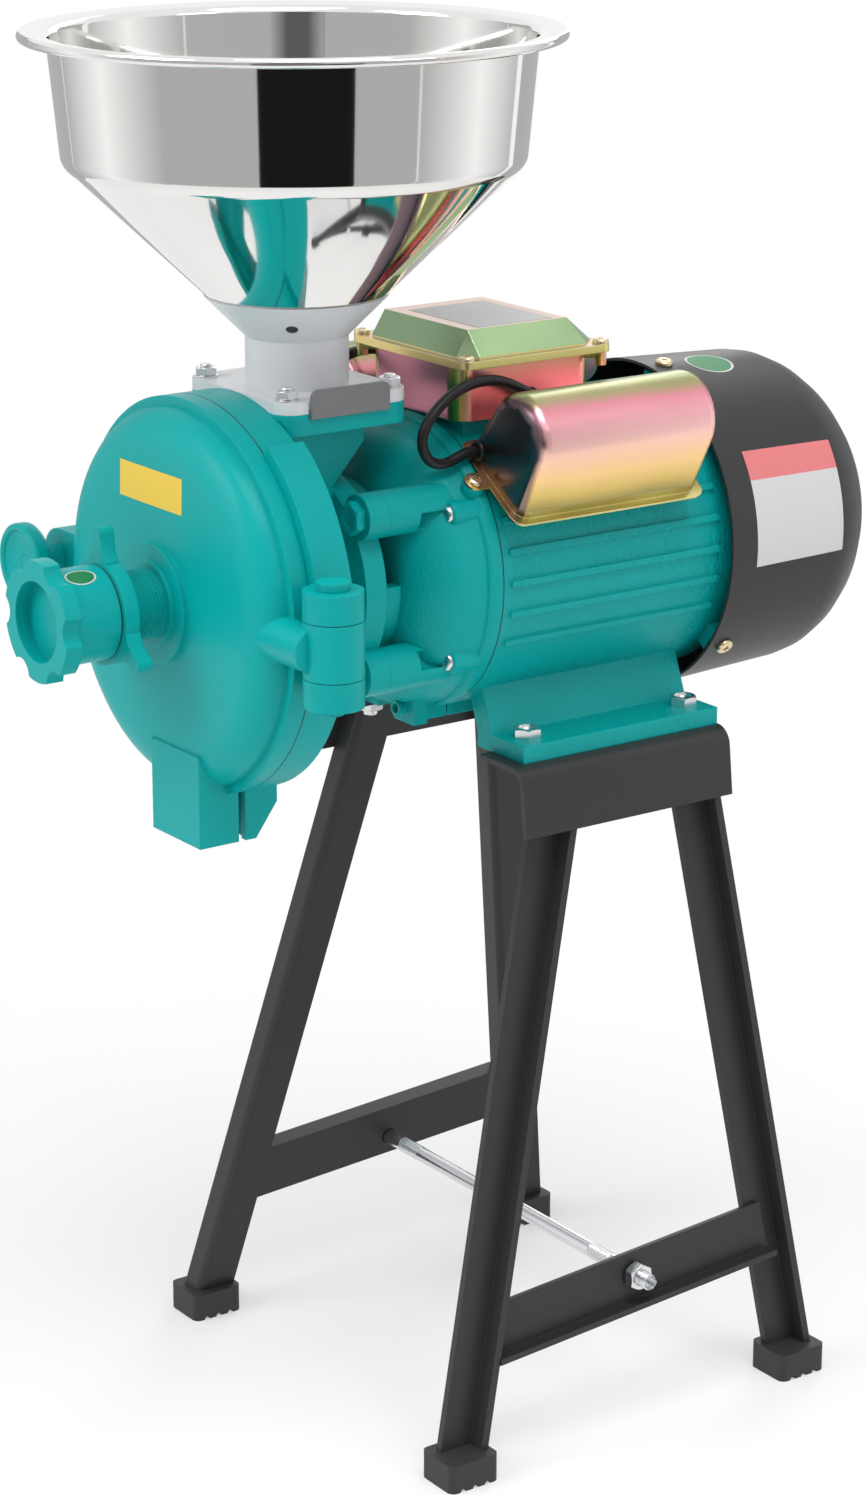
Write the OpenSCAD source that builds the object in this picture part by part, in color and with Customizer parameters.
// Electric grain mill: a disc mill bolted to a foot-mounted motor on a steel stand.
// The front is -Y and the right is +X. The floor is z = 0.
// Places are written from the shaft line (x) and the middle of the foot holes (y).
// The finished part is then moved so that the origin is the middle of its footprint.

/* [Stand] */
// Height of the stand, from the floor to the bracket tops
stand_h = 357.5; // [300:0.5:420]
// Sheet of the brackets and braces
sheet_t = 3; // [2:0.5:4]
// How far a bracket reaches past the foot holes, front and back
bracket_over = 16; // [13:0.5:20]
// How far the middle of a bracket lies in front of the middle of the foot holes
bracket_ahead = 3; // [0:0.5:4]
// Width of a bracket's top flange, inward from the leg plane
bracket_in = 19; // [15:1:24]
// Depth of a bracket's side flange
bracket_drop = 36; // [30:1:60]
// Outer bend radius of a bracket
bend_r = 10; // [6:0.5:14]
// Distance of each leg plane outside the foot holes, at the bracket top
leg_plane_out = 5; // [4:0.5:8]
// Sideways lean of the legs, in degrees
leg_lean = 6.5; // [3:0.5:9]
// Forward rake of the front legs, in degrees
front_rake = 14.4; // [8:0.2:18]
// Backward rake of the back legs, in degrees
back_rake = 7.8; // [4:0.2:12]
// Place of the front legs at the bracket top, front of the foot holes' middle
front_leg_y = 37; // [30:0.5:42]
// Place of the back legs at the bracket top, behind the foot holes' middle
back_leg_y = 41.4; // [32:0.2:44]
// Leg angle: flange that faces sideways
leg_deep = 22; // [18:1:28]
// Leg angle: flange that faces front or back
leg_wide = 14; // [12:1:18]
// Leg angle: thickness
leg_t = 4; // [3:0.5:5]
// Height of a brace
brace_h = 29; // [24:1:34]
// Width of a brace's flange
brace_w = 11; // [8:1:14]
// Height of the right brace's middle above the floor, at the tie rod
right_brace_z = 75.5; // [60:0.5:110]
// Height of the left brace's middle above the floor, at the tie rod
left_brace_z = 82.5; // [65:0.5:115]
// Fall of the braces toward the front, in degrees
brace_fall = 3.9; // [0:0.1:5]
// Radius of the tie rod
rod_r = 4; // [3:0.5:5]
// Place of the tie rod, in front of the foot holes' middle
rod_ahead = 11; // [0:1:20]
// Rubber foot: rubber beside the leg
pad_side = 6.5; // [5:0.5:9]
// Rubber foot: rubber before and behind the leg
pad_ends = 4; // [3:0.5:6]
// Rubber foot: height
pad_h = 15; // [12:1:20]
// Rubber foot: rubber under the leg's end
pad_floor = 4; // [3:0.5:6]

/* [Motor] */
// Shaft height above the feet, the motor's frame size
frame_h = 90; // [88:1:100]
// Foot holes, spacing across
hole_across = 140; // [136:1:144]
// Foot holes, spacing along
hole_along = 100; // [96:1:106]
// Foot plates: how far they reach outside the foot holes
foot_side = 13.5; // [11:0.5:17]
// Foot plates: how far they reach past the foot holes, front and back
foot_ends = 12; // [10:0.5:14]
// Foot plates: thickness
foot_t = 9; // [7:0.5:12]
// Radius of the foot holes
foot_hole_r = 5; // [4.5:0.1:5.5]
// Outer radius of the cast body
body_r = 75.7; // [72:0.1:78]
// Wall of the cast body
body_wall = 8; // [6:0.5:10]
// Body: how far its front end lies before the foot holes' middle
body_front = 69.3; // [66:0.1:74]
// Body: how far its back end lies behind the foot holes' middle
body_back = 72; // [70:0.5:78]
// Height of the cast ribs
rib_h = 1.8; // [1:0.2:4]
// Width of a cast rib
rib_w = 3.4; // [2:0.2:5]
// Number of ribs on each side
rib_n = 5; // [3:1:5]
// Pitch of the ribs around the body, in degrees
rib_pitch = 12; // [9:1:13]
// Length of the front bell's dome
bell_dome = 38; // [34:1:44]
// Radius of the front bell's neck
neck_r = 48; // [46:0.5:52]
// Length of the front bell's neck
neck_l = 18; // [16:1:24]
// Fan cover: how far its open edge stands out from the body
fan_cover_out = 10.8; // [8:0.2:16]
// Fan cover: how much it narrows along its straight part
fan_taper = 3.1; // [1:0.1:5]
// Length of the fan cover's straight part
fan_cover_l = 71.5; // [64:0.5:80]
// Depth of the fan cover's dome
fan_dome_l = 60; // [45:1:70]
// Sheet of the fan cover
fan_sheet = 1.5; // [1:0.1:2.5]
// Radius of the shaft in its bearings
shaft_r = 12.5; // [11:0.5:14]
// Bearings: outer radius
bearing_r = 26; // [24:0.5:30]
// Bearings: width
bearing_w = 15; // [12:1:18]

/* [Electrics] */
// Terminal box: width across
box_w = 80; // [70:1:88]
// Terminal box: length along
box_l = 84; // [76:1:90]
// Terminal box: height
box_h = 28; // [22:1:34]
// Terminal box: radius of its upright corners
box_corner = 10.8; // [6:0.2:14]
// Terminal box: sheet
box_sheet = 1.2; // [0.8:0.1:2]
// Middle of the terminal box, in front of the foot holes' middle
box_ahead = 29; // [26:1:32]
// Lid: how far it stands out past the box across
lid_out_x = 10; // [7:0.5:12]
// Lid: how far it stands out past the box along
lid_out_y = 4; // [3:0.5:8]
// Lid: radius of its upright corners
lid_corner = 5.4; // [4:0.2:6]
// Lid: height of its folded edge
lid_edge = 4; // [3:0.5:6]
// Lid: height of its raised top above the edge
lid_rise = 13; // [8:1:18]
// Capacitor covers: width of the base
cap_w = 52; // [46:1:56]
// Capacitor covers: length
cap_l = 112; // [90:1:118]
// Capacitor covers: height
cap_h = 53; // [46:1:60]
// Capacitor covers: radius of the rounded top
cap_top_r = 23; // [18:0.5:25]
// Capacitor covers: radius of the rounded ends
cap_end_r = 7; // [3:0.5:10]
// Capacitor covers: lean outward from upright, in degrees
cap_tilt = 34; // [32:1:40]
// Capacitor covers: how far down the slope they sit
cap_shift = 24.2; // [22:0.2:28]
// Lead loops: thickness of the lead
lead_d = 6; // [5:0.5:7]
// Lead loops: how far they reach out in front of the capacitor covers
lead_reach = 34; // [30:1:40]

/* [Mill] */
// Radius of the grinding housing and its cover
mill_r = 98.5; // [96:0.5:104]
// Wall of the housing and its cover
mill_wall = 6; // [5:0.5:8]
// Length of the housing, from the front of its mounting flange to the seam
housing_l = 59.3; // [56:0.1:64]
// Depth of the housing's rim behind the seam
rim_l = 20; // [18:1:24]
// Depth of the grinding chamber behind the seam
chamber_l = 14; // [13:0.5:15]
// Rim flange of the cover
cover_flange = 10; // [8:0.5:12]
// Depth of the cover, seam to shoulder
cover_l = 25; // [23.5:0.5:30]
// Width of the cover's rounded shoulder
shoulder_w = 23.5; // [20:0.5:28]
// Room around the grinding discs in their chamber
disc_room = 13; // [10:0.5:20]
// Thickness of the grinding discs
disc_t = 10; // [8:0.5:10]
// Gap between the grinding discs at rest
disc_gap = 1; // [0.8:0.1:2]
// Depth of the grooves in the discs
groove_deep = 1.5; // [1:0.1:3]
// Number of groove groups around a disc
groove_groups = 8; // [6:1:10]
// Outer radius of the feed auger
auger_r = 23; // [20:0.5:24]
// Pitch of the feed auger
auger_pitch = 24; // [20:1:30]
// Radius of the threaded stub on the cover
stub_r = 17; // [15:0.5:18]
// Radius of the push rod
push_r = 8; // [6:0.5:9]
// Width of the lock ring around the stub
ring_w = 9; // [7:0.5:11]
// Length of the lock ring's handles
handle_out = 16; // [12:0.5:20]
// Thickness of the lock ring
ring_t = 8; // [6:0.5:10]
// Wall of the knob's hub around the stub
knob_wall = 6.3; // [5:0.1:8]
// Length of the knob's hub
hub_l = 25; // [22:0.5:30]
// How far the knob's lobed grip stands out from its hub
grip_out = 6.5; // [5:0.1:9]
// Length of the knob's lobed grip
grip_l = 9; // [7:0.5:12]
// Number of lobes on the knob
grip_lobes = 6; // [5:1:8]
// Hinge: distance of its pin outside the housing's rim
hinge_off = 19.5; // [17.5:0.5:24]
// Hinge: radius of the knuckles
knuckle_r = 14.5; // [12:0.5:15]
// Hinge: height of the cover's knuckle
knuckle_h = 27.2; // [24:0.2:32]
// Hinge: height of each knuckle of the housing
knuckle_end_h = 14; // [10:0.5:18]
// Hinge: radius of the pin
pin_r = 4.5; // [3.5:0.5:6]
// Latch: distance of its screw outside the housing's rim
latch_off = 19.5; // [17.5:0.5:24]
// Latch: radius of the hand knob
latch_r = 20.5; // [16:0.5:24]
// Spout: width
spout_w = 44; // [36:1:52]
// Spout: middle, to the right of the shaft line
spout_x = 15; // [0:1:22]
// Spout: drop of its lip below the housing's rim
spout_below = 18; // [14:0.5:28]

/* [Feed] */
// Feed flange: width across
flange_w = 90; // [84:1:96]
// Feed flange: length along
flange_l = 74; // [72:1:80]
// Feed flange: thickness on the housing
flange_t = 10.5; // [8:0.5:14]
// Feed flange: radius of its corners
flange_corner = 10; // [4:0.5:12]
// Feed flange: drop of its top below the top of the housing's rim
flange_below = 5.5; // [3:0.5:9]
// Feed studs: distance from the sides of the flange
stud_side = 8.5; // [7.5:0.5:10]
// Feed studs: distance from the ends of the flange
stud_ends = 7.3; // [6.5:0.1:9]
// Collar: thickness of its base plate
collar_t = 6; // [5:0.5:8]
// Collar: outer radius of its tube
collar_r = 25.4; // [23:0.2:27]
// Collar: wall
collar_wall = 3.4; // [2.4:0.2:4]
// Collar: height of its tube above the plate
collar_tube = 23.5; // [15:0.5:40]
// Collar: how far its rim stands out from its tube
collar_rim = 20; // [15:0.5:26]
// Slide gate: how much wider it is than the bore, on each side
gate_lap = 0.5; // [0.2:0.1:1]
// Slide gate: thickness
gate_t = 2; // [1.5:0.1:2.5]
// Slide gate: height of its pull tab
tab_h = 14; // [10:0.5:24]
// Hopper: outer radius over the rolled rim
hopper_r = 131.7; // [120:0.1:145]
// Hopper: width of its rolled rim
hopper_rim = 15; // [12:0.5:18]
// Hopper: how much the bowl narrows down to the cone
bowl_taper = 8.2; // [5:0.2:12]
// Hopper: height of the bowl
bowl_h = 60; // [40:1:90]
// Hopper: sheet
hopper_t = 1.2; // [0.8:0.1:2]

/* [Hidden] */
$fn = 48;

// Fits and cutting overrun
run_gap = 0.05;
seat_gap = 0.02;
side_gap = 0.3;
over = 1;
full_turn = 360;
half_turn = 180;
square_turn = 90;

// Colours
teal = [0, 0.56, 0.54];
black = [0.16, 0.16, 0.17];
grey = [0.34, 0.34, 0.34];
zinc = [0.78, 0.79, 0.8];
gold = [0.86, 0.72, 0.42];
steel = [0.66, 0.67, 0.68];
white = [0.92, 0.92, 0.93];
rubber = [0.2, 0.2, 0.21];
copper = [0.72, 0.42, 0.22];

// M8 and M6 hardware
m8_r = 4;
m8_af = 13;
m8_head = 5.3;
m8_dish = 1;
m8_nut = 6.5;
m8_hole = 4.5;
m6_r = 3;
m6_af = 10;
m6_nut = 5;
nut_reach = m8_af / sqrt(3);

// Levels of the machine
shaft_h = stand_h + frame_h;
foot_top = stand_h + foot_t;
flange_top = shaft_h + mill_r - flange_below;

// Places along the shaft, from the body forward
mount_flange = 12;
front_end = -body_front;
bell_front = front_end - bell_dome - neck_l;
neck_front = bell_front - mount_flange;
seam_y = neck_front - housing_l;
feed_y = seam_y + rim_l + flange_l / 2;

// Stand
bracket_l = hole_along + 2 * bracket_over;
leg_plane_x = hole_across / 2 + leg_plane_out;
pad_w = leg_wide + 2 * pad_side;
pad_l = leg_deep + 2 * pad_ends;
front_leg = [-front_leg_y, -tan(front_rake)];
back_leg = [back_leg_y, tan(back_rake)];
leg_run = stand_h * 1.2;
leg_bend_r = leg_t;
brace_lap = 9;
rod_z = (right_brace_z + left_brace_z) / 2;
rod_end = 3;
groove_r = 1.7;
pad_grooves = 3;

// Place of a leg plane and of a leg's middle at a height above the floor
function plane_x(z) = leg_plane_x + (stand_h - z) * tan(leg_lean);
function leg_y(leg, z) = leg[0] + (stand_h - z) / cos(leg_lean) * leg[1];
function pad_x() = plane_x(pad_h / 2) + leg_wide / 2;

// Points of an arc, of the round-cornered outline and of a sheet's two faces
function arc(c, r, a0, a1, n) =
    [for (i = [0 : n]) c + r * toward(a0 + (a1 - a0) * i / n)];
function toward(a) = [cos(a), sin(a)];
function swap(p) = [-p[1], p[0]];
function unit(p) = p / norm(p);
function corner_shift(a, b) = (a + b) / (1 + a * b);
function face_shift(p, i) =
    let (last = len(p) - 1)
    let (before = swap(unit(p[max(i, 1)] - p[max(i, 1) - 1])))
    let (after = swap(unit(p[min(i, last - 1) + 1] - p[min(i, last - 1)])))
    corner_shift(before, after);
function sheet_faces(p, t) =
    concat(p, [for (i = [len(p) - 1 : -1 : 0]) p[i] + t * face_shift(p, i)]);

// Motor
foot_w = hole_across + 2 * foot_side;
foot_l = hole_along + 2 * foot_ends;
dome_step = 3;
dome_lip = 1.5;
bell_wall = 6;
neck_wall = 8;
mount_x = 48;
mount_z = 39.5;
mount_boss_r = 11.5;
mount_hole_r = 5;
mount_af = 15;
rib_first = -23;
rib_setback = 6;
web_a = 50.4;
web_top_x = (body_r - over) * cos(web_a);
web_top_drop = (body_r - over) * sin(web_a);
web_foot_in = 12.5;
web_foot_x = hole_across / 2 - web_foot_in;
web_t = 13;
lug_in = 10;
lug_out = 30;
lug_ahead = 22;
lug_l = 8.3;
lug_low = 2.2;
lug_high = 16;
lug_cut = 3;
rail_step = 1.5;
rail_low = 0.6;
rail_l = 16;
nose_x = 19;
nose_up = 7.5;
nose_boss_r = 4;
nose_boss_l = 4;
hub_wall = 6;
bearing_front = front_end - bell_dome + hub_wall / 2;
bearing_back = body_back + hub_wall / 2;
shield_t = 9;
window_up = 1.5;
window_h = 27.5;
window_l = 14;
stator_deep = 27.7;
stator_in_r = body_r - body_wall - stator_deep;
stator_room = 24.3;
stator_half = body_front - stator_room;
coil_l = 17;
air_gap = 0.5;
core_step = 2.5;
core_shaft_r = shaft_r + core_step;
seal_step = 0.5;
seal_shaft_r = shaft_r - seal_step;
nose_step = 3.5;
nose_r = shaft_r - nose_step;
fan_shaft_l = 80;
fan_gap = 44;
fan_lap = 4;
fan_shaft_end = body_back + fan_shaft_l;
fan_at = body_back + fan_gap;
fan_l = 32;
fan_cover_r = body_r + fan_cover_out;
fan_dome_r = fan_cover_r - fan_taper;
fan_room = 13.9;
fan_r = fan_dome_r - fan_sheet - fan_room;
fan_hub_wall = 7;
fan_hub_r = nose_r + fan_hub_wall;
fan_blades = 8;
blade_t = 3;
fan_edge = body_back - fan_lap;
fan_end = fan_edge + fan_cover_l + fan_dome_l;
dome_steps = 9;
dome_power = 1.8;
vent_n = 16;
vent_w = 5;
vent_in = 16;
vent_edge = 27.4;
vent_out = fan_dome_r - vent_edge;
lug_w = 14;
fan_screw_a = -39;
screw_r = 2.5;
screw_head_r = 4.6;
screw_head_t = 2.4;
tie_screw_in = 8.7;
tie_screw_r = body_r - tie_screw_in;
tie_screw_a = 32;
tie_screw_boss = 6.5;
tie_seat = front_end - bell_dome / 2 - over;

// Electrics
box_lift = 0.8;
box_floor = shaft_h + body_r + box_lift;
box_y = -box_ahead;
box_top = box_floor + box_h;
lid_shares = [0.72, 0.66];
lid_back_shift = -3.5;
lid_cut = 8.5;
lid_tab_h = 7;
lid_screw_r = 1.8;
lid_post_r = lid_screw_r + box_sheet;
lid_screw_x = box_w / 2 + lid_out_x - screw_head_r;
lid_screw_y = box_l / 2 + lid_out_y - screw_head_r;
lid_screw_a = atan2(lid_screw_y, lid_screw_x);
lid_screw_out = norm([lid_screw_x, lid_screw_y]);
seat_share = 0.82;
seat_shares = [[-0.42, 0], [0.42, 0], [0.2, -0.34], [-0.42, -0.2]];
lip_w = 3.6;
lip_t = 1.2;
cap_y = -11;
ear_r = 5.5;
ear_x = -3;
ear_out = 9;
ear_y = cap_l / 2 + ear_out;
ear_screw = 6;
ear_boss = 14;
gland_r = 11;
gland_l = 17;
gland_hole = 4;
gland_x = 14;
gland_rise = 2;
gland_z = box_floor + box_h / 2 + gland_rise;

// Feed
collar_top = flange_top + collar_t + collar_tube;
collar_rim_r = collar_r + collar_rim;
collar_in = collar_r - collar_wall;
stud_across = flange_w - 2 * stud_side;
stud_along = flange_l - 2 * stud_ends;
gate_play = 0.2;
gate_slot = gate_t + gate_play;
gate_w = 2 * (collar_in + gate_lap);
gate_end = 4;
gate_reach = flange_w / 2 + collar_in + gate_end;
tab_corner = 4;
tab_low = 2.5;
hopper_seat = collar_top + collar_rim;
hopper_low = 12;
outlet_r = collar_in - side_gap;
collar_lip = 2.6;
cone_a = 43.3;
cone_slope = tan(cone_a);
bowl_r = hopper_r - hopper_rim;
cone_r = bowl_r - bowl_taper;
bowl_round = 10;
bowl_lean = atan((bowl_taper - bowl_round * (1 - sin(cone_a))) / bowl_h);
cone_low = hopper_seat - (collar_rim_r - collar_lip - side_gap - outlet_r) * cone_slope;
bowl_low = cone_low + (cone_r - outlet_r) * cone_slope;
bowl_top = bowl_low + bowl_h;
roll_r = 2.5;
rim_bend = 4;
set_screw_r = 3;
set_screw_up = 8;
set_screw_z = collar_top + set_screw_up;
set_screw_a = -37;

// Mill
rim_wall = 10.5;
mill_in = mill_r - rim_wall;
disc_r = mill_in - disc_room;
cover_flat_r = mill_r - shoulder_w;
neck_step = 8;
neck_out_r = neck_r - neck_step;
auger_gap = 2;
auger_bore = auger_r + auger_gap;
chamber_back = seam_y + chamber_l;
chute_step = 5;
chute_r = collar_in - chute_step;
throat_wall = 10;
throat_half = chute_r + throat_wall;
throat_l = 21;
throat_back = feed_y + throat_l;
chute_lean = 7;
seal_w = 8;
seal_r = seal_shaft_r + seal_w;
seal_l = 8;
seal_in = 0.5;
seal_front = neck_front + seal_in;
disc_in = 2.6;
rotor_face = seam_y + disc_in;
bolt_l = 20;
bolt_af = 19;
fixed_face = rotor_face - disc_gap;
carrier_t = 6;
carrier_back = fixed_face - disc_t;
carrier_front = carrier_back - carrier_t;
peg_r = 4;
peg_circle = disc_r * 0.64;
feed_gap = 3;
feed_hole_r = auger_r + feed_gap;
window_circle = feed_hole_r - over;
window_r = 8;
groove_w = 2.4;
groove_steps = 3;
groove_pitch = 12;
cover_front = seam_y - cover_l;
boss_step_w = 4;
boss_step_r = stub_r + boss_step_w;
boss_step_l = 1.5;
boss_w = 9;
boss_r = boss_step_r + boss_w;
boss_l = 2.5;
face_rise = 1.5;
boss_front = cover_front - face_rise - boss_l - boss_step_l;
ring_out = 50.4;
ring_back = seam_y - ring_out;
ring_front = ring_back - ring_t;
hub_front = ring_front - hub_l;
grip_front = hub_front - grip_l;
stub_out = 15;
rod_out = 4;
stub_front = ring_front - stub_out;
hub_r = stub_r + knob_wall;
grip_r = hub_r + grip_out;
cup_wall = 3.5;
cup_r = hub_r - cup_wall;
cup_deep = 8;
ring_r = stub_r + ring_w;
ring_reach = ring_r + handle_out;
handle_foot = 16;
handle_flare = 4;
handle_w = 8.6;
handle_tip = 6.6;
handle_end_r = 3.5;
hinge_x = mill_r + hinge_off;
hinge_out = 1.4;
hinge_drop = 0.6;
hinge_y = seam_y - hinge_out;
hinge_z = shaft_h - hinge_drop;
pin_head_out = 3.5;
pin_head_r = pin_r + pin_head_out;
pin_head_t = 4;
knuckle_gap = 0.4;
arm_r = 11;
arm_y = seam_y - arm_r - knuckle_gap;
band_rise = 6;
band_from = 12;
band_to = 54;
latch_x = mill_r + latch_off;
latch_drop = 3.5;
latch_z = shaft_h - latch_drop;
latch_lug_t = 12.5;
latch_lug_r = 15;
latch_lug_front = seam_y - latch_lug_t;
latch_lug_back = seam_y + latch_lug_t;
latch_stud_r = 4;
sleeve_r = 7;
sleeve_l = 14;
latch_t = 10;
latch_dish = 4;
latch_play = 1;
latch_back = latch_lug_front - sleeve_l;
spout_wall = 4;
spout_out = 1.2;
spout_deep = 18.4;
spout_toe_l = 6;
spout_cut = 18;
spout_front = cover_front - spout_out;
spout_back = seam_y + spout_deep;
spout_toe = seam_y + spout_toe_l;
spout_split = 3.9;
spout_low = shaft_h - mill_r - spout_below;
spout_top = shaft_h - mill_in + spout_cut;

// Origin: the middle of the footprint
reach_right = pad_x() + pad_w / 2;
reach_left = latch_x + latch_r;
mid_x = (reach_right - reach_left) / 2;
mid_y = (grip_front + fan_end) / 2;
echo(mid_x = mid_x, mid_y = mid_y, shaft_h = shaft_h, hinge_y = hinge_y, latch_z = latch_z);

// Moves a piece from the machine's own places to the origin, in its colour
module made_of(c) color(c) translate([-mid_x, -mid_y, 0]) children();

// Round bars along each direction, and a block between two corners
module bar_x(x, y, z, r, l) translate([x, y, z]) rotate([0, square_turn, 0]) cylinder(r = r, h = l);
module bar_y(x, y, z, r, l) translate([x, y, z]) rotate([-square_turn, 0, 0]) cylinder(r = r, h = l);
module bar_z(x, y, z, r, l) translate([x, y, z]) cylinder(r = r, h = l);
module block(low, high) translate(low) cube(high - low);

// Hexagon prism along z, given across its flats
module hexagon(af, l) cylinder(r = af / sqrt(3), h = l, $fn = 6);

// Turned shape on the shaft line, from points of radius and place along the shaft
module turned(points) translate([0, 0, shaft_h]) rotate([-square_turn, 0, 0])
    rotate_extrude() polygon(points);
module on_shaft(y) translate([0, y, shaft_h]) rotate([-square_turn, 0, 0]) children();
module around_shaft(a) translate([0, 0, shaft_h]) rotate([0, -a, 0]) children();

// Plate with round corners, standing on z = 0
module round_plate(w, l, r, t) linear_extrude(t) {
    square([w - 2 * r, l], center = true);
    square([w, l - 2 * r], center = true);
    for (x = [-1, 1], y = [-1, 1]) translate([x * (w / 2 - r), y * (l / 2 - r)]) circle(r);
}

// Stand: everything on one side lies in the leaning plane of its legs
module side_plane(side) rotate([0, 0, side > 0 ? 0 : half_turn])
    translate([leg_plane_x, 0, stand_h]) rotate([0, -leg_lean, 0]) children();
module leg_line(side, leg) side_plane(side)
    translate([0, side * leg[0], 0]) rotate([side * atan(leg[1]), 0, 0]) children();

module bracket(side) made_of(black) difference() {
    w = leg_wide + sheet_t;
    c = [(w - bend_r + bend_r * sin(leg_lean)) / cos(leg_lean), -bend_r];
    outer = arc(c, bend_r, square_turn, leg_lean, 8);
    inner = arc(c, bend_r - sheet_t, leg_lean, square_turn, 8);
    down = (bracket_drop - bend_r) * [tan(leg_lean), -1];
    rotate([0, 0, side > 0 ? 0 : half_turn])
        translate([leg_plane_x, bracket_l / 2 - side * bracket_ahead, stand_h])
        rotate([square_turn, 0, 0]) linear_extrude(bracket_l)
        polygon(concat([[-bracket_in, 0]], outer, [outer[8] + down, inner[0] + down], inner,
            [[-bracket_in, -sheet_t]]));
    for (y = [-1, 1])
        bar_z(side * hole_across / 2, y * hole_along / 2, stand_h - sheet_t - over, m8_hole,
            sheet_t + 2 * over);
}

module leg_bar(side, leg) intersection() {
    leg_line(side, leg) translate([0, 0, -leg_run]) linear_extrude(leg_run) {
        round = arc([leg_bend_r, leg_deep / 2 - leg_bend_r], leg_bend_r, half_turn, square_turn, 6);
        polygon(concat([[leg_t, -leg_deep / 2], [0, -leg_deep / 2]], round,
            [[leg_wide, leg_deep / 2], [leg_wide, leg_deep / 2 - leg_t], [leg_t, leg_deep / 2 - leg_t]]));
    }
    block([-leg_run, -leg_run, pad_floor], [leg_run, leg_run, stand_h - bend_r]);
}
module leg(side, place) made_of(black) leg_bar(side, place);

module foot(side, leg) made_of(rubber) difference() {
    x = side * pad_x();
    y = leg_y(leg, pad_h / 2);
    translate([x, y, 0]) round_plate(pad_w, pad_l, pad_floor, pad_h);
    leg_bar(side, leg);
    for (i = [1 : pad_grooves])
        bar_x(x - pad_w, y + (i / (pad_grooves + 1) - 1 / 2) * pad_l, 0, groove_r, 2 * pad_w);
}

module brace(side, mid_z, flange_top_edge) made_of(black) difference() {
    low_leg = side > 0 ? front_leg : back_leg;
    high_leg = side > 0 ? back_leg : front_leg;
    z0 = (mid_z - stand_h) / cos(leg_lean);
    far = leg_run / 2;
    side_plane(side) translate([leg_t, -side * rod_ahead, z0]) rotate([side * brace_fall, 0, 0]) {
        block([0, -far, -brace_h / 2], [sheet_t, far, brace_h / 2]);
        z = flange_top_edge ? brace_h / 2 - sheet_t : -brace_h / 2;
        block([0, -far, z], [brace_w, far, z + sheet_t]);
    }
    leg_line(side, low_leg) block([-far, -leg_run, -leg_run], [far, leg_deep / 2, 0]);
    leg_line(side, high_leg) block([-far, brace_lap - leg_deep / 2, -leg_run], [far, leg_run, 0]);
    bar_x(side > 0 ? 0 : -leg_run, -rod_ahead, rod_z, m8_hole, leg_run);
}

// Outer face of the braces at the tie rod, where its nuts seat
nut_seat = plane_x(rod_z) + (leg_t + sheet_t) / cos(leg_lean) + nut_reach * tan(leg_lean);
rod_half = nut_seat + m8_nut + rod_end;
module tie_rod() made_of(zinc) bar_x(-rod_half, -rod_ahead, rod_z, rod_r, 2 * rod_half);

module m8_nuts() made_of(zinc) {
    for (side = [-1, 1]) translate([side * nut_seat, -rod_ahead, rod_z]) rotate([0, side * square_turn, 0])
        nut(m8_af, m8_nut, rod_r);
    for (x = [-1, 1], y = [-1, 1])
        translate([x * hole_across / 2, y * hole_along / 2, stand_h - sheet_t - m8_nut])
        nut(m8_af, m8_nut, m8_r);
}
module nut(af, t, r) difference() {
    hexagon(af, t);
    translate([0, 0, -over]) cylinder(r = r + seat_gap, h = t + 2 * over);
}
module foot_bolts() made_of(zinc) for (x = [-1, 1], y = [-1, 1])
    translate([x * hole_across / 2, y * hole_along / 2, 0]) {
        translate([0, 0, foot_top]) difference() {
            hexagon(m8_af, m8_head);
            translate([0, 0, m8_head - m8_dish]) cylinder(r = m8_r, h = m8_dish + over);
        }
        low = stand_h - sheet_t - m8_nut - rod_end;
        bar_z(0, 0, low, m8_r, foot_top - low);
    }

// Motor
module motor_body() made_of(teal) difference() {
    union() {
        bar_y(0, front_end, shaft_h, body_r, body_back - front_end);
        for (side = [-1, 1], i = [0 : rib_n - 1])
            around_shaft(side > 0 ? rib_first + i * rib_pitch : half_turn - rib_first - i * rib_pitch)
            rib();
        for (side = [-1, 1]) {
            block([min(side * (web_foot_x - web_t), side * foot_w / 2), -foot_l / 2, stand_h],
                [max(side * (web_foot_x - web_t), side * foot_w / 2), foot_l / 2, foot_top]);
            foot_web(side);
            cap_plane(side) capacitor_seat();
        }
        block([lug_in + rail_step, front_end, shaft_h - body_r - rail_low],
            [lug_out - rail_step, front_end + rail_l, shaft_h - body_r + lug_high]);
        ear_boss(ear_y);
        block([-box_w * seat_share / 2, box_y - box_l * seat_share / 2, shaft_h],
            [box_w * seat_share / 2, box_y + box_l * seat_share / 2, box_floor]);
    }
    bar_y(0, front_end - over, shaft_h, body_r - body_wall, body_back - front_end + 2 * over);
    ear_hole(ear_y);
    for (x = [-1, 1], y = [-1, 1])
        bar_z(x * hole_across / 2, y * hole_along / 2, stand_h - over, foot_hole_r, foot_t + 2 * over);
}
module rib() {
    front = front_end + rib_setback;
    back = body_back - rib_setback;
    block([body_r - over, front, -rib_w / 2], [body_r + rib_h, back, rib_w / 2]);
    for (y = [front, back]) bar_x(body_r - over, y, 0, rib_w / 2, rib_h + over);
}
module foot_web(side) translate([0, foot_l / 2, 0]) rotate([square_turn, 0, 0])
    linear_extrude(foot_l) polygon([
        [side * web_foot_x, foot_top - over],
        [side * web_top_x, shaft_h - web_top_drop],
        [side * (web_top_x - web_t), shaft_h - web_top_drop],
        [side * (web_foot_x - web_t), foot_top - over]]);

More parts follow.
